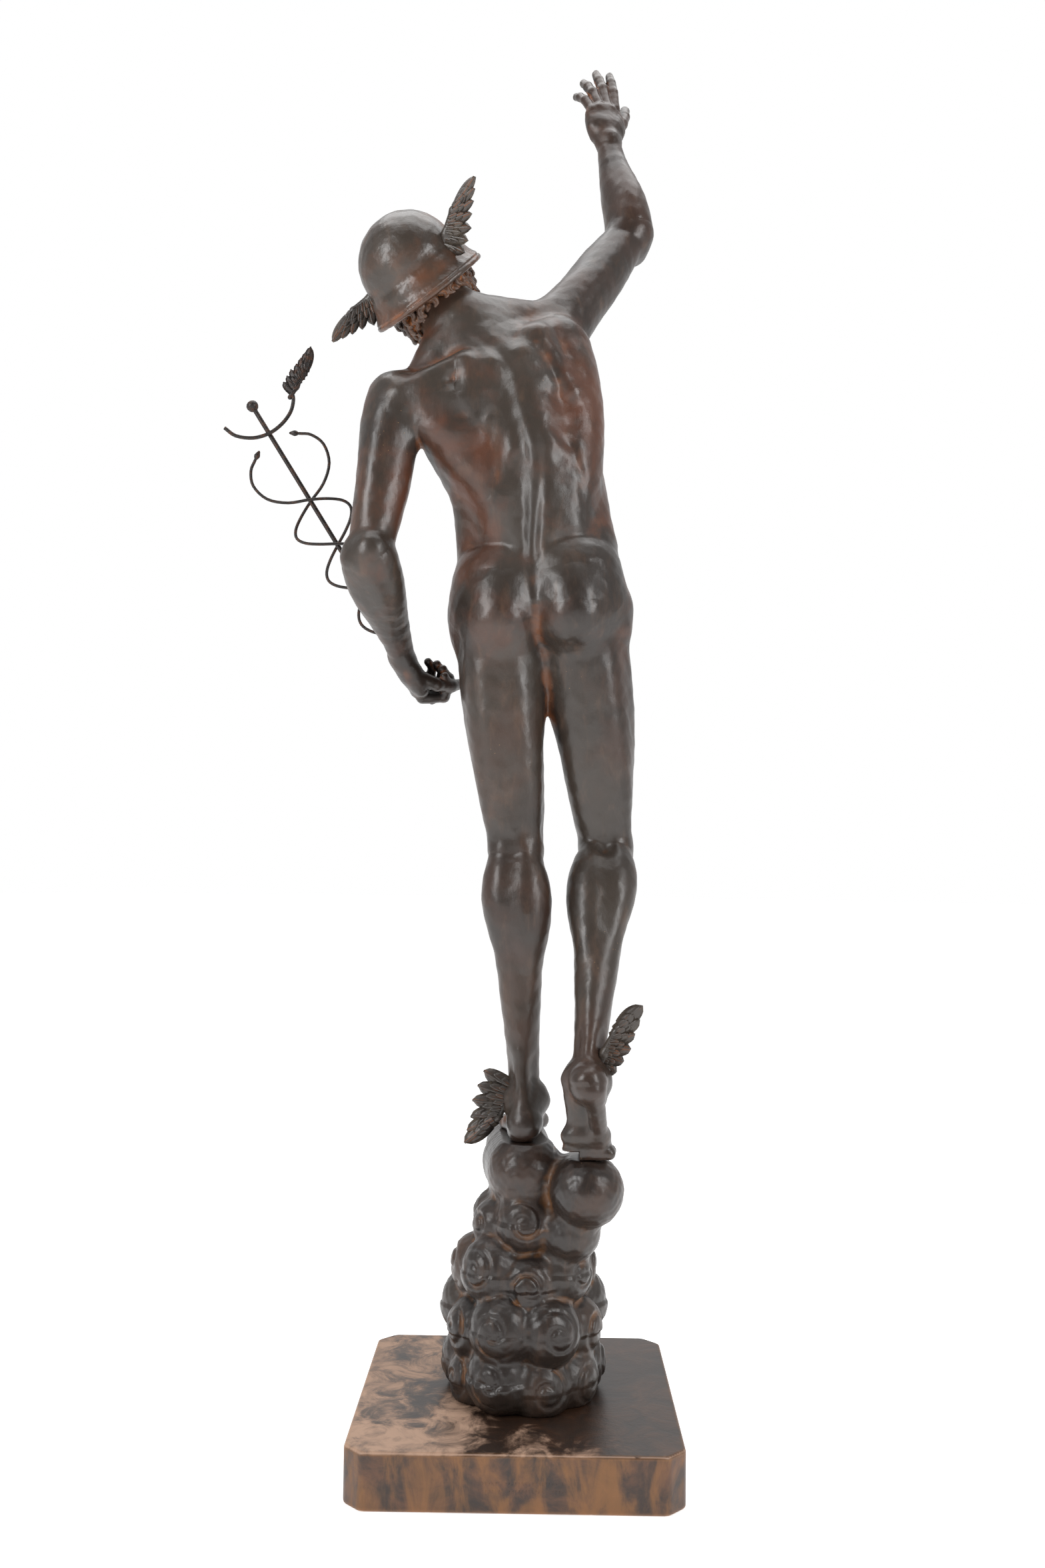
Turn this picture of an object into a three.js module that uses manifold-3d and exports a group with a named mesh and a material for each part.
import * as THREE from "three";
import Module from "manifold-3d";

// A generic Mercury on a mound of clouds: youth seen from behind, cap and ankle wings, wire caduceus.
// Millimetres. +Z up, the figure faces +Y, its right side is +X. The origin is under the plinth's middle.

// Plinth
const PLINTH_WIDE = 400;
const PLINTH_TALL = 67;
const PLINTH_CORNER = 22;
const PLINTH_BEVEL = 2.2;

// Levels that pieces rest on, and the gap between pieces
const GAP = 0.3;
const LEFT_PAD_Z = 388;
const RIGHT_PAD_Z = 376;
const MOUND_BOTTOM_Z = PLINTH_TALL + GAP;

// Joints of the figure: index 0 is its left side (-X), index 1 its right side (+X)
const PELVIS_AT = [18, 2, 1092];
const CHEST_AT = [-24, -2, 1325];
const HEAD_AT = [-146, 8, 1536];
const NAPE = [-86, -12, 1464];
const SHOULDER = [[-174, -34, 1352], [36, 40, 1478]];
const ELBOW = [[-203, -66, 1135], [142, 118, 1650]];
const WRIST = [[-166, 46, 1018], [112, 158, 1818]];
const HIP = [[-40, 2, 1082], [76, 0, 1074]];
const KNEE = [[-10, 14, 766], [112, 48, 768]];
const ANKLE = [[6, -8, 440], [84, -95, 480]];
const HEEL_LIFT = [0, 0.908];
const HAND_LOW = 1815;

// Cap
const CAP_RADIUS = 70;
const CAP_LONGER = 1.07;
const BRIM_STEPS = [[66, -2, 8], [73, -9, 6], [79.5, -14, 4.5], [84, -16, 4.2]];

// Caduceus: rod through the left fist, snakes and fork about it
const ROD_FOOT = [-128, 84, 968];
const ROD_TOP = [-387, 60, 1379];
const ROD_RADIUS = 3.2;
const KNOB_RADIUS = 8.5;
const BUTT_RADIUS = 6.4;
const SNAKE_RADIUS = 2.1;
const FORK_RADIUS = 2.6;
// Places along the rod where the snakes cross it, then how a snake ends: along, away and in depth
const SNAKE_CROSSINGS = [104, 182, 256, 328];
const SNAKE_STEPS = 6;
const SNAKE_CURL = [[328, 0, 1], [340, 28, 0.8], [360, 50, 0.5], [386, 57, 0.2], [406, 49, 0], [416, 36, 0]];
// The fork's line: along the rod, away from it
const FORK_LINE = [[475, -49], [457, -41], [442, -22], [436, 0], [438, 22], [446, 41], [458, 53], [468, 57]];

// Grid steps of the carved pieces and the triangles that each one keeps
const FIGURE_STEP = 6.2;
const FIGURE_TRIANGLES = 4850;
const MOUND_STEP = 6;
const MOUND_TRIANGLES = 1640;
const WING_STEP = 2.6;
const CAP_WING_TRIANGLES = 260;
const ANKLE_WING_TRIANGLES = 180;
const FORK_WING_TRIANGLES = 180;

const wasm = await Module();
wasm.setup();

// Vectors
const add = (a, b) => [a[0] + b[0], a[1] + b[1], a[2] + b[2]];
const sub = (a, b) => [a[0] - b[0], a[1] - b[1], a[2] - b[2]];
const scale = (a, t) => [a[0] * t, a[1] * t, a[2] * t];
const dot = (a, b) => a[0] * b[0] + a[1] * b[1] + a[2] * b[2];
const cross = (a, b) => [
  a[1] * b[2] - a[2] * b[1],
  a[2] * b[0] - a[0] * b[2],
  a[0] * b[1] - a[1] * b[0],
];
const size = (a) => Math.hypot(a[0], a[1], a[2]);
const unit = (a) => scale(a, 1 / size(a));
const blend = (a, b, t) => add(scale(a, 1 - t), scale(b, t));
const square = (a, to) => unit(sub(a, scale(to, dot(a, to))));

// A local frame: x to the figure's right, y to its front, z up.
class Frame {
  constructor(origin, up, front) {
    this.o = origin;
    this.z = unit(up);
    this.y = square(front, this.z);
    this.x = cross(this.y, this.z);
  }
  way(x, y, z) {
    return add(add(scale(this.x, x), scale(this.y, y)), scale(this.z, z));
  }
  at(x, y, z) {
    return add(this.o, this.way(x, y, z));
  }
}

// A stretch of a limb from a to b: `out` away from the body's middle, `front` forward.
class Limb {
  constructor(a, b, front, hand) {
    this.a = a;
    this.b = b;
    this.w = unit(sub(b, a));
    this.f = square(front, this.w);
    this.out = scale(cross(this.f, scale(this.w, -1)), hand);
  }
  at(t, out = 0, front = 0) {
    return add(blend(this.a, this.b, t), add(scale(this.out, out), scale(this.f, front)));
  }
}

const pelvis = new Frame(PELVIS_AT, [-0.06, 0.03, 1], [0.1, 1, 0]);
const chest = new Frame(CHEST_AT, [-67, -4, 230], [-0.2, 0.97, 0]);
const head = new Frame(HEAD_AT, [-0.575, -0.4, 0.715], [0.5, 0.8, 0.35]);

// A solid kept as distances on a grid: rounded masses flow together, or are taken away.
class Clay {
  constructor(low, high, step) {
    this.low = low;
    this.step = step;
    this.n = [0, 1, 2].map((i) => Math.ceil((high[i] - low[i]) / step) + 1);
    this.d = new Float32Array(this.n[0] * this.n[1] * this.n[2]).fill(60);
  }

  // Runs `distance` at each grid point of a box.
  visit(low, high, act) {
    const { n, step } = this;
    const from = [0, 1, 2].map((i) => Math.max(0, Math.floor((low[i] - this.low[i]) / step)));
    const to = [0, 1, 2].map((i) => Math.min(n[i] - 1, Math.ceil((high[i] - this.low[i]) / step)));
    for (let i = from[0]; i <= to[0]; i++) {
      for (let j = from[1]; j <= to[1]; j++) {
        let at = (i * n[1] + j) * n[2] + from[2];
        const x = this.low[0] + i * step;
        const y = this.low[1] + j * step;
        for (let k = from[2]; k <= to[2]; k++) act(at++, x, y, this.low[2] + k * step);
      }
    }
  }

  // Joins a distance to the solid with a soft seam `soft` wide, or carves it away.
  merge(at, distance, soft, cut) {
    const old = this.d[at];
    if (cut) {
      const h = Math.max(soft - Math.abs(old + distance), 0) / soft;
      this.d[at] = Math.max(old, -distance) + h * h * soft * 0.25;
    } else {
      const h = Math.max(soft - Math.abs(old - distance), 0) / soft;
      this.d[at] = Math.min(old, distance) - h * h * soft * 0.25;
    }
  }

  // A rounded spindle from a to b: end radii, a swelling between, `wide` times wider along `side`.
  mass(a, b, ra, rb = ra, { bulge = 0, soft = 8, side, wide = 1, peak = 0.5, cut = false } = {}) {
    const run = sub(b, a);
    const length = size(run);
    const w = length > 1e-6 ? scale(run, 1 / length) : [0, 0, 1];
    const u = square(side ?? (Math.abs(w[0]) < 0.8 ? [1, 0, 0] : [0, 1, 0]), w);
    const v = cross(w, u);
    const reach = (Math.max(ra, rb) + Math.max(bulge, 0)) * Math.max(wide, 1) + soft + 2 * this.step;
    const power = Math.log(0.5) / Math.log(peak);
    const low = a.map((c, i) => Math.min(c, b[i]) - reach);
    const high = a.map((c, i) => Math.max(c, b[i]) + reach);
    this.visit(low, high, (at, x, y, z) => {
      const p = [x - a[0], y - a[1], z - a[2]];
      const along = dot(p, w);
      const t = length > 1e-6 ? Math.min(1, Math.max(0, along / length)) : 0;
      const swell = t ** power;
      const r = ra + (rb - ra) * t + bulge * 4 * swell * (1 - swell);
      const past = along - t * length;
      this.merge(at, Math.hypot(dot(p, u) / wide, dot(p, v), past) - r, soft, cut);
    });
  }

  // A round rim about an axis, `long` times longer along `forward`.
  ring(centre, axis, radius, r, { soft = 5, long = 1, forward = [0, 1, 0], cut = false } = {}) {
    const w = unit(axis);
    const v = square(forward, w);
    const u = cross(v, w);
    const reach = radius * long + r + soft + 2 * this.step;
    this.visit(centre.map((c) => c - reach), centre.map((c) => c + reach), (at, x, y, z) => {
      const p = sub([x, y, z], centre);
      const rho = Math.hypot(dot(p, u), dot(p, v) / long);
      this.merge(at, Math.hypot(rho - radius, dot(p, w)) - r, soft, cut);
    });
  }

  // Raises the surface along a line of points, or engraves it where `height` is negative.
  line(points, width, height) {
    const reach = 2.6 * width + this.step;
    const low = [0, 1, 2].map((i) => Math.min(...points.map((p) => p[i])) - reach);
    const high = [0, 1, 2].map((i) => Math.max(...points.map((p) => p[i])) + reach);
    const last = points.length - 1;
    this.visit(low, high, (at, x, y, z) => {
      let best = Infinity;
      let where = 0;
      for (let i = 0; i < last; i++) {
        const run = sub(points[i + 1], points[i]);
        const p = sub([x, y, z], points[i]);
        const t = Math.min(1, Math.max(0, dot(p, run) / dot(run, run)));
        const off = size(sub(p, scale(run, t))) ** 2;
        if (off < best) {
          best = off;
          where = (i + t) / last;
        }
      }
      const fade = Math.min(1, Math.sin(Math.PI * where) * 1.35);
      this.d[at] -= height * Math.exp(-best / width ** 2) * fade;
    });
  }

  // The surface as closed triangles: each grid cell is six tetrahedra round its long diagonal.
  surface() {
    const { n, d, step, low } = this;
    const points = [];
    const faces = [];
    const made = new Map();
    const strides = [n[1] * n[2], n[2], 1];
    const place = (at) => [
      low[0] + Math.floor(at / strides[0]) * step,
      low[1] + (Math.floor(at / strides[1]) % n[1]) * step,
      low[2] + (at % n[2]) * step,
    ];
    const crossing = (a, b) => {
      const key = a < b ? a * d.length + b : b * d.length + a;
      if (!made.has(key)) {
        const t = Math.min(0.94, Math.max(0.06, d[a] / (d[a] - d[b])));
        made.set(key, points.length);
        points.push(blend(place(a), place(b), t));
      }
      return made.get(key);
    };
    // A triangle is turned so that it faces away from the inside corner.
    const face = (a, b, c, inside) => {
      const normal = cross(sub(points[b], points[a]), sub(points[c], points[a]));
      if (dot(normal, sub(points[a], place(inside))) < 0) faces.push([a, c, b]);
      else faces.push([a, b, c]);
    };
    const orders = [[0, 1, 2], [0, 2, 1], [1, 0, 2], [1, 2, 0], [2, 0, 1], [2, 1, 0]];
    const paths = orders.map(([a, b]) => [
      0,
      strides[a],
      strides[a] + strides[b],
      strides[0] + strides[1] + strides[2],
    ]);
    const corners = [0, 1, 2, 3, 4, 5, 6, 7].map(
      (c) => (c & 1) * strides[0] + ((c >> 1) & 1) * strides[1] + (c >> 2) * strides[2],
    );
    for (let i = 0; i < n[0] - 1; i++) {
      for (let j = 0; j < n[1] - 1; j++) {
        for (let k = 0; k < n[2] - 1; k++) {
          const cell = i * strides[0] + j * strides[1] + k;
          let full = 0;
          for (const c of corners) full += d[cell + c] < 0 ? 1 : 0;
          if (full === 0 || full === 8) continue;
          for (const path of paths) {
            const tet = path.map((c) => cell + c);
            const inner = tet.filter((c) => d[c] < 0);
            const outer = tet.filter((c) => d[c] >= 0);
            if (inner.length === 1) {
              face(...outer.map((c) => crossing(inner[0], c)), inner[0]);
            } else if (inner.length === 3) {
              face(...inner.map((c) => crossing(c, outer[0])), inner[0]);
            } else if (inner.length === 2) {
              const [a, b] = inner;
              const [p, q] = outer;
              face(crossing(a, p), crossing(a, q), crossing(b, q), a);
              face(crossing(a, p), crossing(b, q), crossing(b, p), a);
            }
          }
        }
      }
    }
    return { points, faces };
  }
}

// A heap of edges, cheapest first.
class Heap {
  constructor() {
    this.items = [];
  }
  push(item) {
    const { items } = this;
    let at = items.length;
    items.push(item);
    while (at > 0) {
      const up = (at - 1) >> 1;
      if (items[up].cost <= item.cost) break;
      items[at] = items[up];
      at = up;
    }
    items[at] = item;
  }
  pop() {
    const { items } = this;
    const top = items[0];
    const item = items.pop();
    const count = items.length;
    if (count === 0) return top;
    let at = 0;
    for (;;) {
      let child = 2 * at + 1;
      if (child >= count) break;
      if (child + 1 < count && items[child + 1].cost < items[child].cost) child += 1;
      if (items[child].cost >= item.cost) break;
      items[at] = items[child];
      at = child;
    }
    items[at] = item;
    return top;
  }
}

// A surface that is thinned by merging its flattest edges first. It stays closed all the while.
class Skin {
  constructor({ points, faces }, care) {
    this.xyz = Float64Array.from(points.flat());
    this.corner = Int32Array.from(faces.flat());
    this.gone = new Uint8Array(faces.length);
    this.left = faces.length;
    this.around = points.map(() => []);
    this.q = new Float64Array(10 * points.length);
    this.stamp = new Int32Array(points.length);
    this.heap = new Heap();
    this.to = [0, 0, 0];
    faces.forEach((f, i) => this.weigh(f, i, care(points[f[0]])));
  }

  // Adds a face's plane, weighted by its area and by the care it deserves, to its corners' quadrics.
  weigh(f, i, care) {
    for (const v of f) this.around[v].push(i);
    const normal = this.normal(i, -1);
    const area = size(normal);
    if (area < 1e-9) return;
    const [x, y, z] = scale(normal, 1 / area);
    const w = -(x * this.xyz[3 * f[0]] + y * this.xyz[3 * f[0] + 1] + z * this.xyz[3 * f[0] + 2]);
    const plane = [x * x, x * y, x * z, x * w, y * y, y * z, y * w, z * z, z * w, w * w];
    for (const v of f) for (let j = 0; j < 10; j++) this.q[10 * v + j] += plane[j] * area * care;
  }

  // Twice a face's area along its normal, with corner `swap` moved to the new point.
  normal(i, swap) {
    const { xyz, corner, to } = this;
    const p = [];
    for (let j = 0; j < 3; j++) {
      const v = corner[3 * i + j];
      if (v === swap) p.push(to[0], to[1], to[2]);
      else p.push(xyz[3 * v], xyz[3 * v + 1], xyz[3 * v + 2]);
    }
    const [ux, uy, uz] = [p[3] - p[0], p[4] - p[1], p[5] - p[2]];
    const [vx, vy, vz] = [p[6] - p[0], p[7] - p[1], p[8] - p[2]];
    return [uy * vz - uz * vy, uz * vx - ux * vz, ux * vy - uy * vx];
  }

  error(q, x, y, z) {
    return q[0] * x * x + 2 * q[1] * x * y + 2 * q[2] * x * z + 2 * q[3] * x +
      q[4] * y * y + 2 * q[5] * y * z + 2 * q[6] * y + q[7] * z * z + 2 * q[8] * z + q[9];
  }

  // Puts an edge on the heap with the point that lies nearest all the planes round it.
  offer(a, b) {
    const { xyz, q, stamp } = this;
    const s = new Array(10);
    for (let j = 0; j < 10; j++) s[j] = q[10 * a + j] + q[10 * b + j];
    const [ax, ay, az] = [xyz[3 * a], xyz[3 * a + 1], xyz[3 * a + 2]];
    const [bx, by, bz] = [xyz[3 * b], xyz[3 * b + 1], xyz[3 * b + 2]];
    const [mx, my, mz] = [(ax + bx) / 2, (ay + by) / 2, (az + bz) / 2];
    const reach = (ax - bx) ** 2 + (ay - by) ** 2 + (az - bz) ** 2;
    const c0 = s[4] * s[7] - s[5] * s[5];
    const c1 = s[2] * s[5] - s[1] * s[7];
    const c2 = s[1] * s[5] - s[2] * s[4];
    const whole = s[0] * c0 + s[1] * c1 + s[2] * c2;
    let [x, y, z] = [mx, my, mz];
    if (Math.abs(whole) > 1e-4 * ((s[0] + s[4] + s[7]) / 3) ** 3) {
      const c4 = s[0] * s[7] - s[2] * s[2];
      const c5 = s[1] * s[2] - s[0] * s[5];
      const c7 = s[0] * s[4] - s[1] * s[1];
      x = -(c0 * s[3] + c1 * s[6] + c2 * s[8]) / whole;
      y = -(c1 * s[3] + c4 * s[6] + c5 * s[8]) / whole;
      z = -(c2 * s[3] + c5 * s[6] + c7 * s[8]) / whole;
      if ((x - mx) ** 2 + (y - my) ** 2 + (z - mz) ** 2 > 2.25 * reach) [x, y, z] = [mx, my, mz];
    }
    const cost = Math.max(0, this.error(s, x, y, z)) + 1e-3 * reach;
    this.heap.push({ cost, a, b, x, y, z, seen: stamp[a] + stamp[b] });
  }

  neighbours(v) {
    const found = [];
    for (const i of this.around[v]) {
      for (let j = 0; j < 3; j++) {
        const w = this.corner[3 * i + j];
        if (w !== v && !found.includes(w)) found.push(w);
      }
    }
    return found;
  }

  holds(i, v) {
    const { corner } = this;
    return corner[3 * i] === v || corner[3 * i + 1] === v || corner[3 * i + 2] === v;
  }

  // Whether a face round v would turn over or shrink to nothing.
  turns(v, other) {
    return this.around[v].some((i) => {
      if (this.holds(i, other)) return false;
      const before = this.normal(i, -1);
      const after = this.normal(i, v);
      const [m, n] = [size(before), size(after)];
      return n < 0.02 || dot(before, after) < 0.25 * m * n;
    });
  }

  join(a, b) {
    const { around, corner } = this;
    for (const i of around[b]) {
      if (this.holds(i, a)) {
        this.gone[i] = 1;
        this.left -= 1;
        for (let j = 0; j < 3; j++) {
          const v = corner[3 * i + j];
          if (v !== b) around[v] = around[v].filter((f) => f !== i);
        }
      } else {
        for (let j = 0; j < 3; j++) if (corner[3 * i + j] === b) corner[3 * i + j] = a;
        around[a].push(i);
      }
    }
    around[b] = null;
    this.xyz.set(this.to, 3 * a);
    for (let j = 0; j < 10; j++) this.q[10 * a + j] += this.q[10 * b + j];
    this.stamp[a] += 1;
    for (const v of this.neighbours(a)) this.offer(a, v);
  }

  thin(target) {
    const { corner, around, stamp, heap } = this;
    for (let i = 0; i < corner.length; i++) {
      const next = corner[i % 3 === 2 ? i - 2 : i + 1];
      if (corner[i] < next) this.offer(corner[i], next);
    }
    while (this.left > target && heap.items.length) {
      const { a, b, x, y, z, seen } = heap.pop();
      if (!around[a] || !around[b] || seen !== stamp[a] + stamp[b]) continue;
      const ring = this.neighbours(a);
      if (!ring.includes(b)) continue;
      const shared = this.neighbours(b).filter((v) => ring.includes(v));
      if (shared.length !== 2 || shared.some((v) => around[v].length < 4)) continue;
      this.to = [x, y, z];
      if (this.turns(a, b) || this.turns(b, a)) continue;
      this.join(a, b);
    }
    const points = around.map((_, v) => [...this.xyz.subarray(3 * v, 3 * v + 3)]);
    const faces = [];
    for (let i = 0; i < this.gone.length; i++) {
      if (!this.gone[i]) faces.push([...corner.subarray(3 * i, 3 * i + 3)]);
    }
    return { points, faces };
  }
}

const coarsen = (surface, target, care = () => 1) => new Skin(surface, care).thin(target);

// Solids for joining and cutting
function solidFrom({ points, faces }) {
  const used = new Map();
  const flat = [];
  const triVerts = faces.flat().map((v) => {
    if (!used.has(v)) {
      used.set(v, used.size);
      flat.push(...points[v]);
    }
    return used.get(v);
  });
  const vertProperties = new Float32Array(flat);
  return new wasm.Manifold(
    new wasm.Mesh({ numProp: 3, vertProperties, triVerts: new Uint32Array(triVerts) }),
  );
}

// A three.js geometry as a solid: corners that coincide become one.
function solidOf(geometry) {
  const position = geometry.getAttribute("position");
  const order = geometry.index ? [...geometry.index.array] : [...Array(position.count).keys()];
  const keys = new Map();
  const points = [];
  const corner = (i) => {
    const p = [position.getX(i), position.getY(i), position.getZ(i)];
    const key = p.map((c) => Math.round(c * 1000)).join();
    if (!keys.has(key)) {
      keys.set(key, points.length);
      points.push(p);
    }
    return keys.get(key);
  };
  const faces = [];
  for (let i = 0; i < order.length; i += 3) {
    const f = [corner(order[i]), corner(order[i + 1]), corner(order[i + 2])];
    if (new Set(f).size === 3) faces.push(f);
  }
  return solidFrom({ points, faces });
}

function geometryOf(solid) {
  const mesh = solid.getMesh();
  const geometry = new THREE.BufferGeometry();
  const count = mesh.vertProperties.length / mesh.numProp;
  const positions = new Float32Array(count * 3);
  for (let i = 0; i < count; i++) {
    const at = i * mesh.numProp;
    positions.set(mesh.vertProperties.subarray(at, at + 3), i * 3);
  }
  geometry.setAttribute("position", new THREE.BufferAttribute(positions, 3));
  geometry.setIndex([...mesh.triVerts]);
  geometry.computeVertexNormals();
  return geometry;
}

// The same triangles moved outward by `by`: the room that a piece needs in its neighbour.
function grown({ points, faces }, by) {
  const normals = new Map();
  for (const f of faces) {
    const normal = cross(sub(points[f[1]], points[f[0]]), sub(points[f[2]], points[f[0]]));
    for (const v of f) normals.set(v, add(normals.get(v) ?? [0, 0, 0], normal));
  }
  const moved = points.map((p, i) => (normals.has(i) ? add(p, scale(unit(normals.get(i)), by)) : p));
  return { points: moved, faces };
}

const block = (low, high) => {
  const span = sub(high, low);
  const middle = blend(low, high, 0.5);
  return solidOf(new THREE.BoxGeometry(...span).translate(...middle));
};

// A smooth line through points
const curve = (points, steps = 5) =>
  new THREE.CatmullRomCurve3(points.map((p) => new THREE.Vector3(...p)), false, "catmullrom", 0.5)
    .getPoints((points.length - 1) * steps)
    .map((p) => p.toArray());

// Body
function addTorso(clay) {
  const T = (x, y, z) => chest.at(x, y, z);
  const P = (x, y, z) => pelvis.at(x, y, z);
  const across = { side: chest.x };
  clay.mass(P(-46, 4, 2), P(46, 4, 2), 60, 60, { soft: 20 });
  clay.mass(P(0, 2, 30), T(0, -2, -72), 58, 60, { soft: 26, side: pelvis.x, wide: 1.42 });
  clay.mass(P(0, 24, 0), T(0, 24, -60), 50, 50, { soft: 22, side: pelvis.x, wide: 1.2 });
  for (const s of [-1, 1]) {
    clay.mass(P(62 * s, 2, 34), P(66 * s, 6, 52), 36, 30, { soft: 18 });
    clay.mass(P(70 * s, 8, 66), T(74 * s, 8, -70), 22, 20, { bulge: 6, soft: 16 });
  }
  clay.mass(T(0, 6, -76), T(0, -4, 84), 62, 48, { bulge: 18, soft: 22, wide: 1.3, ...across });
  clay.mass(T(0, -10, 88), T(-12, -8, 128), 42, 32, { soft: 20, wide: 1.6, ...across });
  // Breast and belly
  for (const s of [-1, 1]) {
    const lift = s > 0 ? 14 : 0;
    clay.mass(T(32 * s, 44, 34), T(88 * s, 24, 58 + lift), 33, 27, { bulge: 4, soft: 20 });
    clay.mass(T(20 * s, 52, -70), T(22 * s, 46, -16), 18, 18, { soft: 18 });
    clay.mass(P(17 * s, 46, 10), T(20 * s, 52, -84), 22, 19, { soft: 20 });
  }
  // Flanks, from the armpits to the loins
  clay.mass(T(-96, -16, 44), T(-52, -40, -92), 26, 16, { bulge: 10, soft: 20 });
  clay.mass(T(94, -10, 66), T(56, -38, -92), 26, 18, { bulge: 11, soft: 20 });
  clay.mass(T(-88, -2, 30), T(-78, 6, -60), 26, 18, { bulge: 4, soft: 16 });
  clay.mass(T(88, 4, 50), T(80, 8, -60), 26, 18, { bulge: 4, soft: 16 });
  for (const s of [-1, 1]) {
    clay.mass(P(20 * s, -42, 26), T(22 * s, -48, -40), 18, 20, { bulge: 4, soft: 14 });
    clay.mass(T(22 * s, -48, -40), T(24 * s, -50, 40), 20, 16, { soft: 16 });
  }
  // Neck to shoulders
  clay.mass(NAPE, T(-2, -50, 60), 26, 20, { soft: 18, wide: 1.5, ...across });
  clay.mass(T(-4, -54, 60), T(-2, -56, -30), 16, 6, { soft: 16, wide: 1.8, ...across });
  clay.mass(NAPE, add(SHOULDER[0], [14, 2, 8]), 27, 24, { soft: 20 });
  clay.mass(add(NAPE, [2, 4, -4]), add(SHOULDER[1], [-8, -4, 6]), 27, 28, { soft: 20 });
  // Shoulder blades: the left hangs, the right is turned up by the raised arm
  clay.mass(T(-98, -34, 58), T(-58, -50, 34), 27, 24, { soft: 18 });
  clay.mass(T(-104, -34, 40), T(-64, -50, -2), 24, 16, { bulge: 6, soft: 14 });
  clay.mass(T(-116, -34, 74), T(-46, -56, 84), 15, 9, { soft: 12 });
  clay.mass(T(-46, -58, 80), T(-50, -60, 10), 9, 8, { bulge: 4, soft: 12 });
  clay.mass(T(86, -22, 108), T(44, -46, 96), 26, 20, { soft: 18 });
  clay.mass(T(92, -24, 92), T(74, -46, 22), 26, 17, { bulge: 7, soft: 14 });
  clay.mass(T(52, -54, 96), T(60, -58, 22), 10, 9, { bulge: 4, soft: 12 });
  // Collar bones
  for (const [i, s] of [[0, -1], [1, 1]]) {
    const from = add(NAPE, chest.way(10 * s, 50, -42));
    clay.mass(from, add(SHOULDER[i], [-12 * s, 16, 4]), 10, 10, { soft: 18 });
  }
}

function addSeat(clay) {
  const P = (x, y, z) => pelvis.at(x, y, z);
  for (const s of [-1, 1]) {
    clay.mass(P(42 * s, -28, 18), P(48 * s, -36, -30), 44, 45, { bulge: 3, soft: 16 });
    clay.mass(P(66 * s, -20, 34), P(74 * s, -16, -6), 34, 34, { soft: 16 });
  }
  clay.mass(P(0, -96, 30), P(0, -92, -60), 5, 8, { soft: 16, cut: true });
  clay.line([P(0, -78, 36), P(0, -86, 5), P(0, -84, -34), P(0, -70, -66)], 7, -7);
  for (const s of [-1, 1]) {
    const fold = [P(6 * s, -66, -74), P(34 * s, -78, -86), P(64 * s, -72, -78), P(84 * s, -56, -60)];
    clay.line(curve(fold), 9, -4.5);
  }
}

function addLeg(clay, i) {
  const s = 2 * i - 1;
  const front = [0.1, 1, 0];
  const T = new Limb(HIP[i], KNEE[i], front, s);
  clay.mass(T.at(0, -4), T.at(1), 58, 33, { bulge: 2, soft: 22 });
  clay.mass(T.at(0.05, 6, 22), T.at(0.9, 2, 12), 28, 17, { bulge: 11, soft: 14 });
  clay.mass(T.at(0.1, 30, 4), T.at(0.88, 19, 6), 24, 13, { bulge: 11, soft: 12 });
  clay.mass(T.at(0.48, -14, 10), T.at(0.95, -19, 12), 20, 16, { bulge: 7, soft: 12 });
  clay.mass(T.at(0.1, 14, -24), T.at(1.04, 20, -12), 27, 8, { bulge: 12, soft: 10 });
  clay.mass(T.at(0.1, -16, -22), T.at(1.05, -19, -12), 27, 8, { bulge: 11, soft: 10 });
  clay.mass(T.at(0, -34), T.at(0.62, -20, -4), 32, 16, { bulge: 6, soft: 16 });
  clay.mass(T.at(0.98, 0, 19), T.at(1.03, 0, 18), 20, 17, { soft: 10 });
  clay.mass(T.at(1.01), T.at(1.06, 0, -2), 34, 31, { soft: 12 });
  const S = new Limb(KNEE[i], ANKLE[i], front, s);
  clay.mass(S.at(0.04, 0, 2), S.at(1), 31, 19, { soft: 14 });
  clay.mass(S.at(0.03, -14, -16), S.at(0.52, -12, -17), 15, 9, { bulge: 21, soft: 9, peak: 0.45 });
  clay.mass(S.at(0.03, 15, -15), S.at(0.46, 14, -15), 15, 8, { bulge: 19, soft: 9, peak: 0.45 });
  clay.mass(S.at(0.18, 0, -6), S.at(0.8, 0, -12), 26, 12, { bulge: 5, soft: 12, side: S.out, wide: 1.18 });
  clay.mass(S.at(0.6, 0, -16), S.at(1.02, 0, -25), 11, 8, { soft: 10 });
  clay.mass(S.at(0.06, 11, 10), S.at(0.8, 5, 7), 17, 10, { bulge: 5, soft: 10 });
  clay.mass(S.at(0.07, -2, 21), S.at(0.12, -2, 20), 12, 9, { soft: 10 });
  clay.mass(S.at(0.97, -17, 3), S.at(0.99, -18, 3), 9, 9, { soft: 8 });
  clay.mass(S.at(0.99, 18, -4), S.at(1.02, 18, -4), 9, 9, { soft: 8 });
  clay.line([T.at(0.93, 0, -36), T.at(1.0, 0, -39), T.at(1.06, 0, -38)], 11, -4);
}

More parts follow.
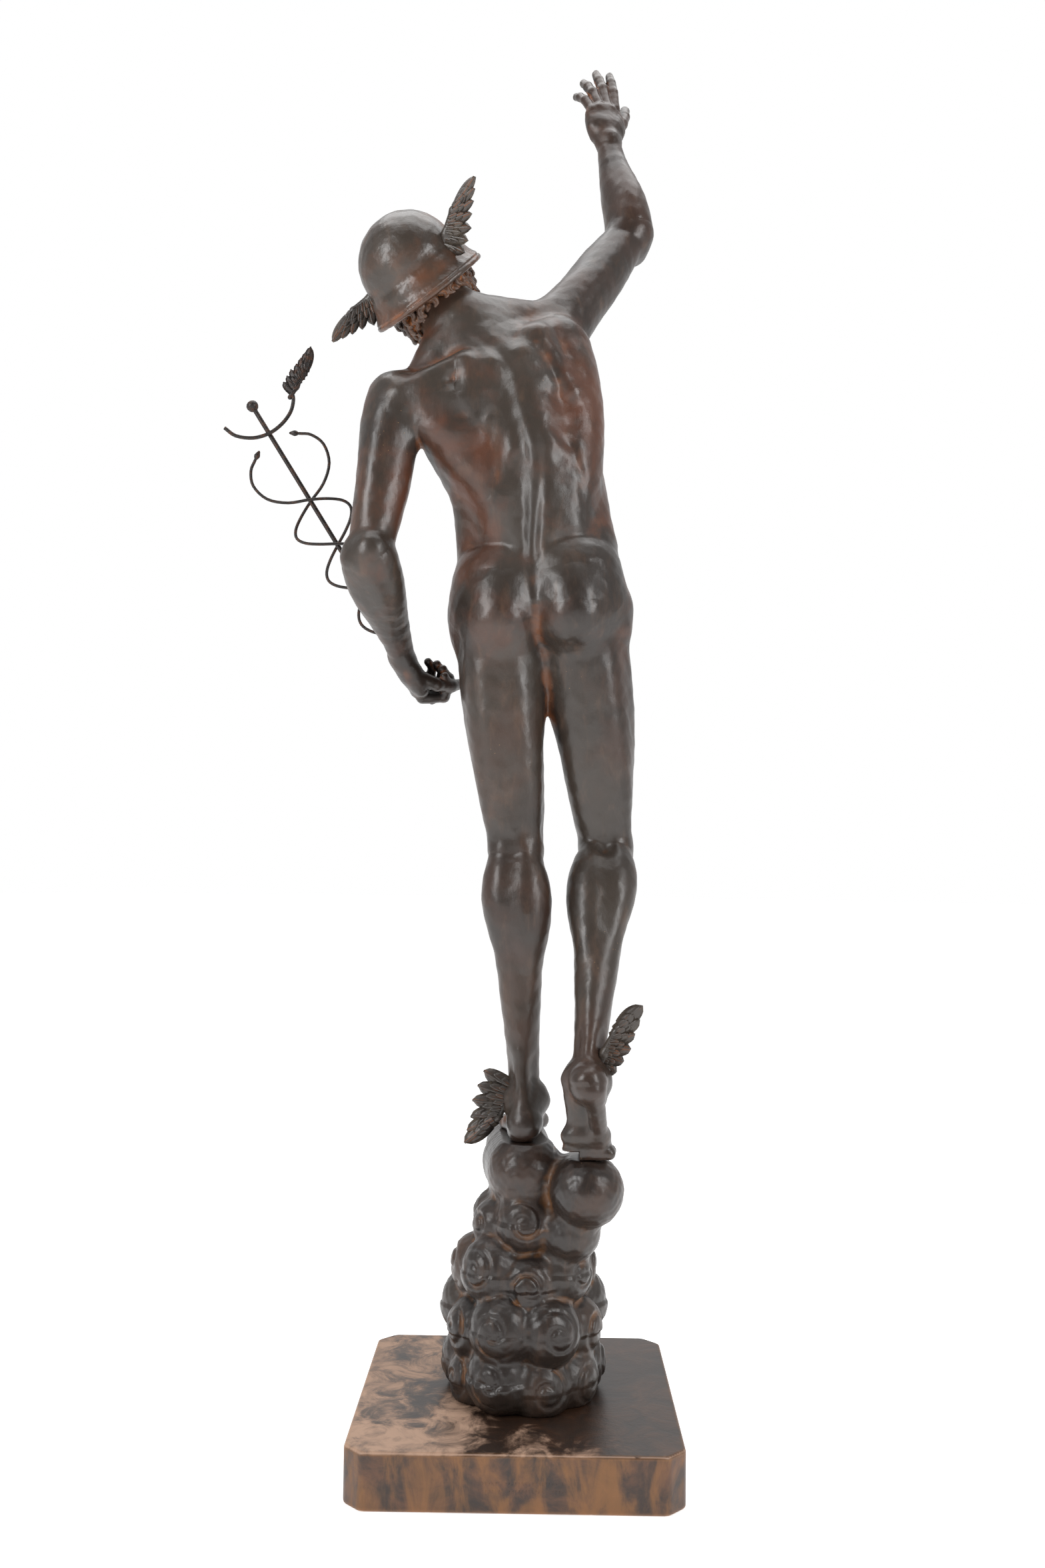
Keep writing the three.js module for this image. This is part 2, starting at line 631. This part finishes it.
// A foot: the heel lifts by an angle, the toes stay level.
function addFoot(clay, i) {
  const s = 2 * i - 1;
  const c = Math.cos(HEEL_LIFT[i]);
  const q = Math.sin(HEEL_LIFT[i]);
  const G = new Frame(ANKLE[i], [0, q, c], [0.02 * s, c, -q]);
  const at = (x, y, z) => G.at(s * x, y, z);
  clay.mass(at(0, -24, -30), at(0, -20, -34), 22, 20, { soft: 12 });
  clay.mass(at(0, -6, 0), at(0, -14, -22), 20, 20, { soft: 14 });
  clay.mass(at(-2, 4, -6), at(-5, 62, -34), 22, 14, { soft: 14, side: G.x, wide: 1.35 });
  clay.mass(at(6, -20, -42), at(18, 74, -47), 13, 9, { soft: 10 });
  clay.mass(at(-4, 60, -40), at(-2, 84, -44), 14, 11, { soft: 12, side: G.x, wide: 2.1 });
  const b = 0.92 * HEEL_LIFT[i];
  const up = G.way(0, -Math.sin(b), Math.cos(b));
  const toeFrame = new Frame(at(0, 84, -44), up, G.way(0, Math.cos(b), Math.sin(b)));
  const toes = [[-21, 11.5, 37], [-5, 8.3, 40], [7, 7.8, 36], [17.5, 7.4, 30], [27, 7.2, 22]];
  toes.forEach(([x, r, length], n) => {
    const root = toeFrame.at(s * x, -6 - n * 2, -2);
    const joint = toeFrame.at(s * (x + 0.5 * n), length * 0.55 - n * 3, 1);
    const tip = toeFrame.at(s * (x + 0.6 * n), length - n * 3, -5 + r * 0.18);
    clay.mass(root, joint, r, r * 0.86, { soft: 6 });
    clay.mass(joint, tip, r * 0.86, r * 0.88, { soft: 4 });
  });
}

function addArm(clay, i, back) {
  const s = 2 * i - 1;
  const U = new Limb(SHOULDER[i], ELBOW[i], scale(back, -1), s);
  clay.mass(U.at(0), U.at(1), 31, 25, { bulge: 2, soft: 16 });
  clay.mass(U.at(-0.03, 4), U.at(0.55, 9), 35, 9, { bulge: 9, soft: 12 });
  clay.mass(U.at(0.25, -2, 12), U.at(0.92, 0, 8), 18, 13, { bulge: 11, soft: 12 });
  clay.mass(U.at(0.12, 8, -12), U.at(0.86, 4, -10), 18, 12, { bulge: 9, soft: 12 });
  clay.mass(U.at(0.12, -10, -10), U.at(0.88, -8, -8), 17, 12, { bulge: 7, soft: 12 });
  clay.mass(U.at(1, 0, -9), U.at(1.03, 0, -9), 18, 18, { soft: 10 });
  const W = new Limb(ELBOW[i], WRIST[i], U.w, s);
  clay.mass(W.at(0), W.at(1), 25, 15.5, { soft: 12 });
  clay.mass(W.at(-0.06, 13, 4), W.at(0.62, 8, 2), 17, 10, { bulge: 11, soft: 11, peak: 0.42 });
  clay.mass(W.at(0, -13, 4), W.at(0.66, -7, 2), 17, 10, { bulge: 10, soft: 11, peak: 0.42 });
  clay.mass(W.at(0.05, 0, -6), W.at(0.8, 0, -3), 17, 10, { bulge: 5, soft: 11 });
}

// A finger: three bones that bend toward the palm.
function addFinger(clay, base, way, palm, lengths, radii, bends) {
  let p = base;
  let w = unit(way);
  let n = square(palm, w);
  lengths.forEach((length, j) => {
    const c = Math.cos(bends[j]);
    const q = Math.sin(bends[j]);
    [w, n] = [add(scale(w, c), scale(n, q)), sub(scale(n, c), scale(w, q))];
    const end = add(p, scale(w, length));
    clay.mass(p, end, radii[j], radii[j + 1], { soft: 3 });
    p = end;
  });
}

const FINGERS = [
  { along: 56, across: 19, bone: 25, r: 8.2 },
  { along: 58, across: 6.5, bone: 28, r: 8.4 },
  { along: 55, across: -6, bone: 26, r: 8 },
  { along: 49, across: -18, bone: 20, r: 7.2 },
];

function addHand(clay, i, way, palm, bends, spread, thumb, thumbBends) {
  const wrist = WRIST[i];
  const w = unit(way);
  const n = square(palm, w);
  const t = scale(cross(n, w), 2 * i - 1);
  const at = (a, b, c) => add(wrist, add(add(scale(w, a), scale(t, b)), scale(n, c)));
  clay.mass(wrist, at(22, 0, 0), 15, 15, { soft: 10, side: t, wide: 1.35 });
  clay.mass(at(20, 0, 0), at(50, 1, 0), 13.5, 12, { soft: 10, side: t, wide: 2 });
  clay.mass(at(14, 15, 6), at(40, 24, 6), 11, 9, { bulge: 2, soft: 8 });
  clay.mass(at(12, -14, 5), at(44, -19, 4), 10, 8, { bulge: 2, soft: 8 });
  FINGERS.forEach(({ along, across, bone, r }, j) => {
    const lengths = [1.25 * bone, 0.8 * bone, 0.62 * bone];
    const radii = [r, 0.95 * r, 0.86 * r, 0.74 * r];
    addFinger(clay, at(along, across, 0), add(w, scale(t, spread[j])), n, lengths, radii, bends[j]);
  });
  const out = add(add(scale(w, thumb[0]), scale(t, thumb[1])), scale(n, thumb[2]));
  const curl = add(add(scale(t, -0.4), scale(n, 0.5)), scale(w, 0.5));
  addFinger(clay, at(18, 17, 5), out, curl, [34, 25, 20], [10.5, 9.2, 8.6, 7.4], thumbBends);
}

function addHead(clay) {
  const H = (x, y, z) => head.at(x, y, z);
  clay.mass(NAPE, H(0, -22, -34), 37, 38, { soft: 16 });
  clay.mass(add(NAPE, [2, 26, -10]), H(0, 2, -40), 32, 32, { soft: 14 });
  for (const s of [-1, 1]) clay.mass(add(NAPE, [0, 10, 4]), H(40 * s, -8, -34), 17, 15, { soft: 10 });
  clay.mass(H(0, -14, 16), H(0, 0, 22), 54, 53, { soft: 16 });
  clay.mass(H(0, 22, 4), H(0, 34, -40), 40, 28, { soft: 16 });
  clay.mass(H(0, 40, -58), H(0, 46, -60), 13, 13, { soft: 14 });
  for (const s of [-1, 1]) {
    clay.mass(H(38 * s, 2, -34), H(14 * s, 40, -56), 12, 11, { soft: 14 });
    clay.mass(H(28 * s, 36, -12), H(22 * s, 40, -26), 14, 10, { soft: 12 });
    clay.mass(H(6 * s, 58, 12), H(30 * s, 46, 14), 7, 7, { soft: 8 });
  }
  clay.mass(H(0, 62, 6), H(0, 72, -22), 5.5, 8, { soft: 8 });
  // Hair under the brim, in three rows about the back and sides
  for (let row = 0; row < 3; row++) {
    for (let j = 0; j < 11; j++) {
      const a = THREE.MathUtils.degToRad(-116 + (232 * (j + 0.5 * (row % 2))) / 10.5);
      const r = 60 - 6 * row;
      const p = H(0.94 * r * Math.sin(a), -4 - 1.02 * r * Math.cos(a), -20 - 15 * row - 2 * Math.cos(a));
      clay.mass(p, add(p, head.way(6 * Math.sin(a), -6 * Math.cos(a), -7)), 11, 9, { soft: 5 });
    }
  }
  // Cap with its turned brim
  const dome = { soft: 8, side: head.y, wide: CAP_LONGER };
  clay.mass(H(0, -6, 4), H(0, -6, 26), CAP_RADIUS, CAP_RADIUS - 2, dome);
  for (const [radius, z, r] of BRIM_STEPS) {
    clay.ring(H(0, -6, z), head.z, radius, r, { long: CAP_LONGER, forward: head.y });
  }
}

function figureMesh() {
  const clay = new Clay([-275, -215, 355], [235, 235, 1985], FIGURE_STEP);
  addTorso(clay);
  addLeg(clay, 0);
  addLeg(clay, 1);
  addSeat(clay);
  addArm(clay, 0, [0.25, -1, -0.1]);
  addArm(clay, 1, [0.9, -0.5, -0.2]);
  addHead(clay);
  addFoot(clay, 0);
  addFoot(clay, 1);
  const spine = [
    add(NAPE, [6, -34, -6]), chest.at(-2, -76, 70), chest.at(0, -82, 0),
    chest.at(0, -78, -60), pelvis.at(0, -62, 60), pelvis.at(0, -66, 30),
  ];
  clay.line(curve(spine), 10, -7);
  const open = [[0.1, 0.12, 0.08], [0.16, 0.18, 0.1], [0.24, 0.26, 0.16], [0.34, 0.34, 0.2]];
  addHand(clay, 1, [-0.14, 0.14, 1], [-0.35, 0.9, 0.1], open, [0.1, 0.02, -0.08, -0.2],
    [0.75, 0.62, 0.25], [0.1, 0.12, 0.1]);
  const fist = [[1.1, 1.3, 0.8], [1.15, 1.35, 0.8], [1.2, 1.35, 0.8], [1.25, 1.35, 0.8]];
  addHand(clay, 0, [0.3, 0.72, -0.62], [0.9, 0.15, 0.3], fist, [0.06, 0.02, -0.03, -0.08],
    [0.72, 0.45, 0.6], [0.25, 0.45, 0.35]);
  const near = (p, centre, reach) => size(sub(p, centre)) < reach;
  const care = (p) => {
    if (p[2] > HAND_LOW || p[2] < ANKLE[0][2]) return 12;
    if (near(p, WRIST[0], 110)) return 12;
    return near(p, HEAD_AT, 100) ? 4 : 1;
  };
  return coarsen(clay.surface(), FIGURE_TRIANGLES, care);
}

// Cloud mound: rows of billows that swell toward the feet
function moundMesh() {
  const clay = new Clay([-190, -200, -30], [200, 215, 430], MOUND_STEP);
  const rows = [
    { count: 9, radius: 66, z: 96, r: 42, turn: 0.2 },
    { count: 8, radius: 68, z: 158, r: 42, turn: 0.55 },
    { count: 8, radius: 56, z: 222, r: 40, turn: 0.1 },
    { count: 6, radius: 40, z: 280, r: 36, turn: 0.5 },
  ];
  clay.mass([6, 0, 80], [12, 12, 330], 80, 46, { soft: 20 });
  rows.forEach(({ count, radius, z, r, turn }, row) => {
    for (let j = 0; j < count; j++) {
      const a = (2 * Math.PI * (j + turn)) / count;
      const vary = 5 * Math.sin(2.3 * j + 1.7 * row);
      const at = [8 + (radius + vary) * Math.cos(a), 8 + (1.15 * radius + vary) * Math.sin(a), z + 2 * vary];
      clay.mass(at, add(at, [0, 0, 4]), r + 0.6 * vary, r, { soft: 8 });
    }
  });
  clay.mass([8, -20, 350], [0, 40, 348], 49, 48, { soft: 12 });
  clay.mass([-2, 60, 346], [-4, 118, 352], 46, 44, { soft: 12 });
  clay.mass([86, -68, 336], [80, -24, 332], 46, 44, { soft: 12 });
  clay.mass([66, -52, 282], [60, 0, 276], 38, 36, { soft: 12 });
  return coarsen(clay.surface(), MOUND_TRIANGLES);
}

// A wing grows from a root along `along`, its broad side turned to `face`. Feathers run from the leading
// edge to tips that step back along the trailing edge; `flip` puts that edge on the other side.
function wingMesh({ root, along, face, flip = 1, length, breadth, count, thick, target, step = WING_STEP }) {
  const w = unit(along);
  const n = square(face, w);
  const t = scale(cross(n, w), flip);
  const at = (a, b, c = 0) => add(root, add(add(scale(w, a * length), scale(t, b * breadth)), scale(n, c)));
  const reach = 1.25 * length;
  const clay = new Clay(root.map((c) => c - reach), root.map((c) => c + reach), step);
  for (let j = 0; j < count; j++) {
    const k = j / (count - 1);
    const from = at(0.3 - 0.22 * k, -0.16 - 0.06 * k, 0.8 * (j % 2));
    const to = at(0.95 - 0.62 * k, 0.02 + 1.1 * k - 0.45 * k * k);
    const side = cross(n, sub(to, from));
    const half = (0.75 * breadth) / count + 3;
    clay.mass(from, to, thick, 0.55 * thick, { bulge: 0.4 * thick, soft: 2.5, side, wide: half / thick });
  }
  clay.mass(at(-0.12, 0), at(0.16, -0.08), 1.9 * thick, 2.1 * thick, { soft: 5 });
  clay.mass(at(0.16, -0.08), at(0.62, -0.16), 2.1 * thick, 1.2 * thick, { soft: 5 });
  return coarsen(clay.surface(), target);
}

const CAP_WINGS = [
  { root: [-63, -6, 18], along: [-0.72, 0.1, -0.68], face: [0.1, -1, 0.15], flip: 1 },
  { root: [63, -12, 18], along: [0.42, -0.5, 0.76], face: [-0.5, -0.8, -0.3], flip: -1 },
];

const capWing = (i) =>
  wingMesh({
    ...CAP_WINGS[i],
    root: head.at(...CAP_WINGS[i].root),
    length: 84,
    breadth: 40,
    count: 6,
    thick: 3.4,
    target: CAP_WING_TRIANGLES,
  });

const ANKLE_WINGS = [
  { root: [16, -4], along: [-0.62, -0.1, -0.78], face: [-0.15, -1, 0.1], flip: -1, length: 84, breadth: 50 },
  { root: [16, -8], along: [0.5, -0.25, 0.86], face: [-0.3, -1, -0.1], flip: -1, length: 84, breadth: 26 },
];

const ankleWing = (i) =>
  wingMesh({
    ...ANKLE_WINGS[i],
    root: new Limb(KNEE[i], ANKLE[i], [0.1, 1, 0], 2 * i - 1).at(0.95, ...ANKLE_WINGS[i].root),
    count: 5,
    thick: 3.6,
    target: ANKLE_WING_TRIANGLES,
  });

// Caduceus
const rodWay = unit(sub(ROD_TOP, ROD_FOOT));
const rodLength = size(sub(ROD_TOP, ROD_FOOT));
const rod = new Frame(ROD_FOOT, rodWay, [0, 1, 0]);

// A turned profile of [radius, height] pairs about the rod.
function turned(profile, segments) {
  const shape = new THREE.LatheGeometry(profile.map(([r, z]) => new THREE.Vector2(r, z)), segments);
  const turn = new THREE.Matrix4().makeBasis(
    new THREE.Vector3(...rod.x), new THREE.Vector3(...rod.z), new THREE.Vector3(...scale(rod.y, -1)),
  );
  return solidOf(shape.applyMatrix4(turn.setPosition(...ROD_FOOT)));
}

const rodProfile = (r) => [[0, 0], [r, 0], [r, rodLength - 6], [0, rodLength - 6]];

function staffSolid() {
  const bead = [];
  const steps = 7;
  for (let i = 0; i <= steps; i++) {
    const a = -0.5 * Math.PI + (Math.PI * i) / steps;
    bead.push([KNOB_RADIUS * Math.cos(a), rodLength - 4 + 0.9 * KNOB_RADIUS * Math.sin(a)]);
  }
  bead[0][0] = 0;
  bead[steps][0] = 0;
  const butt = [[0, -4], [5.6, -2], [BUTT_RADIUS, 3], [4.6, 8], [0, 9]];
  return turned(rodProfile(ROD_RADIUS), 10).add(turned(bead, 10)).add(turned(butt, 10));
}

// A wire of radius r along points, with closed ends.
function wire(points, r, sides, steps) {
  const path = new THREE.CatmullRomCurve3(points.map((p) => new THREE.Vector3(...p)), false, "centripetal");
  const ring = new THREE.Shape();
  for (let i = 0; i < sides; i++) {
    const a = (2 * Math.PI * i) / sides;
    if (i === 0) ring.moveTo(r * Math.cos(a), r * Math.sin(a));
    else ring.lineTo(r * Math.cos(a), r * Math.sin(a));
  }
  return solidOf(new THREE.ExtrudeGeometry(ring, { steps, bevelEnabled: false, extrudePath: path }));
}

// A snake sways about the rod, passing it in turn in front and behind, and its head curls back to it.
function snakeSolid(s) {
  const clear = ROD_RADIUS + SNAKE_RADIUS + GAP;
  const points = [];
  const last = SNAKE_CROSSINGS.length - 1;
  for (let i = 0; i < last * SNAKE_STEPS; i++) {
    const cycle = i / SNAKE_STEPS;
    const from = Math.floor(cycle);
    const t = cycle - from;
    const along = SNAKE_CROSSINGS[from] * (1 - t) + SNAKE_CROSSINGS[from + 1] * t;
    const sway = (26 + 7 * cycle) * Math.sin(Math.PI * cycle);
    points.push(rod.at(s * sway, s * clear * Math.cos(Math.PI * cycle), along));
  }
  const turn = last % 2 === 0 ? 1 : -1;
  for (const [along, out, depth] of SNAKE_CURL) {
    points.push(rod.at(s * turn * out, s * turn * clear * depth, along));
  }
  const body = wire(points, SNAKE_RADIUS, 6, 28);
  const end = points[points.length - 1];
  const way = unit(sub(end, points[points.length - 2]));
  const clay = new Clay(end.map((c) => c - 24), end.map((c) => c + 24), 1.4);
  clay.mass(sub(end, scale(way, 3)), add(end, scale(way, 13)), 2.4, 1.2, { bulge: 2.6, peak: 0.4, soft: 2 });
  return body.add(solidFrom(coarsen(clay.surface(), 56)));
}

// A shallow fork near the top; its right arm carries a small wing, the left wing is lost.
function forkSolid() {
  const clear = ROD_RADIUS + FORK_RADIUS + GAP;
  const arm = FORK_LINE.map(([along, out]) => rod.at(out, -clear, along));
  const wing = wingMesh({
    root: arm[arm.length - 1],
    along: rod.way(0.83, 0, 0.565),
    face: scale(rod.y, -1),
    flip: 1,
    length: 62,
    breadth: 22,
    count: 6,
    thick: 1.7,
    step: 1.5,
    target: FORK_WING_TRIANGLES,
  });
  return wire(arm, FORK_RADIUS, 6, 18).add(solidFrom(wing));
}

// Plinth: a square slab with cut corners and softened edges
function plinthGeometry() {
  const half = PLINTH_WIDE / 2 - PLINTH_BEVEL;
  const cut = PLINTH_CORNER;
  const corners = [
    [half - cut, -half], [half, -half + cut], [half, half - cut], [half - cut, half],
    [cut - half, half], [-half, half - cut], [-half, cut - half], [cut - half, -half],
  ];
  const shape = new THREE.Shape(corners.map(([x, y]) => new THREE.Vector2(x, y)));
  const rim = { bevelThickness: PLINTH_BEVEL, bevelSize: PLINTH_BEVEL, bevelSegments: 2 };
  return new THREE.ExtrudeGeometry(shape, { depth: PLINTH_TALL - 2 * PLINTH_BEVEL, ...rim })
    .translate(0, 0, PLINTH_BEVEL);
}

// The pieces, fitted to each other
const wings = {
  cap_wing_left: capWing(0),
  cap_wing_right: capWing(1),
  ankle_wing_left: ankleWing(0),
  ankle_wing_right: ankleWing(1),
};
let figure = solidFrom(figureMesh());
for (const wing of Object.values(wings)) figure = figure.subtract(solidFrom(grown(wing, 1.2 * GAP)));
const hole = BUTT_RADIUS + GAP;
figure = figure.subtract(turned([[0, -40], [hole, -40], [hole, 11], [ROD_RADIUS + GAP, 11],
  [ROD_RADIUS + GAP, 90], [0, 90]], 10));
figure = figure.subtract(block([-70, -120, 300], [70, 190, LEFT_PAD_Z + GAP]));
figure = figure.subtract(block([20, -140, 300], [170, 40, RIGHT_PAD_Z + GAP]));
let mound = solidFrom(moundMesh());
mound = mound.subtract(block([-240, -240, -100], [240, 240, MOUND_BOTTOM_Z]));
mound = mound.subtract(block([-240, -240, LEFT_PAD_Z], [240, 240, 460]));
mound = mound.subtract(block([44, -240, RIGHT_PAD_Z], [240, 8, 460]));

const bronzeBrown = { color: 0x3a2c25, roughness: 0.42, metalness: 0 };
const pieces = [
  ["plinth", plinthGeometry(), { color: 0x2e231c, roughness: 0.5, metalness: 0 }],
  ["cloud_mound", geometryOf(mound), { color: 0x33271f, roughness: 0.45, metalness: 0 }],
  ["figure", geometryOf(figure), bronzeBrown],
  ["caduceus_staff", geometryOf(staffSolid()), { color: 0x2b2724, roughness: 0.5, metalness: 0.6 }],
  ["snake_left", geometryOf(snakeSolid(-1)), { color: 0x332c28, roughness: 0.5, metalness: 0.6 }],
  ["snake_right", geometryOf(snakeSolid(1)), { color: 0x332c28, roughness: 0.5, metalness: 0.6 }],
  ["wing_fork", geometryOf(forkSolid()), { color: 0x36302b, roughness: 0.5, metalness: 0.6 }],
  ...Object.entries(wings).map(([name, mesh]) => [
    name, geometryOf(solidFrom(mesh)), { color: 0x4a443e, roughness: 0.4, metalness: 0 },
  ]),
];

const group = new THREE.Group();
for (const [name, geometry, finish] of pieces) {
  const mesh = new THREE.Mesh(geometry, new THREE.MeshStandardMaterial(finish));
  mesh.name = name;
  group.add(mesh);
}

export default group;
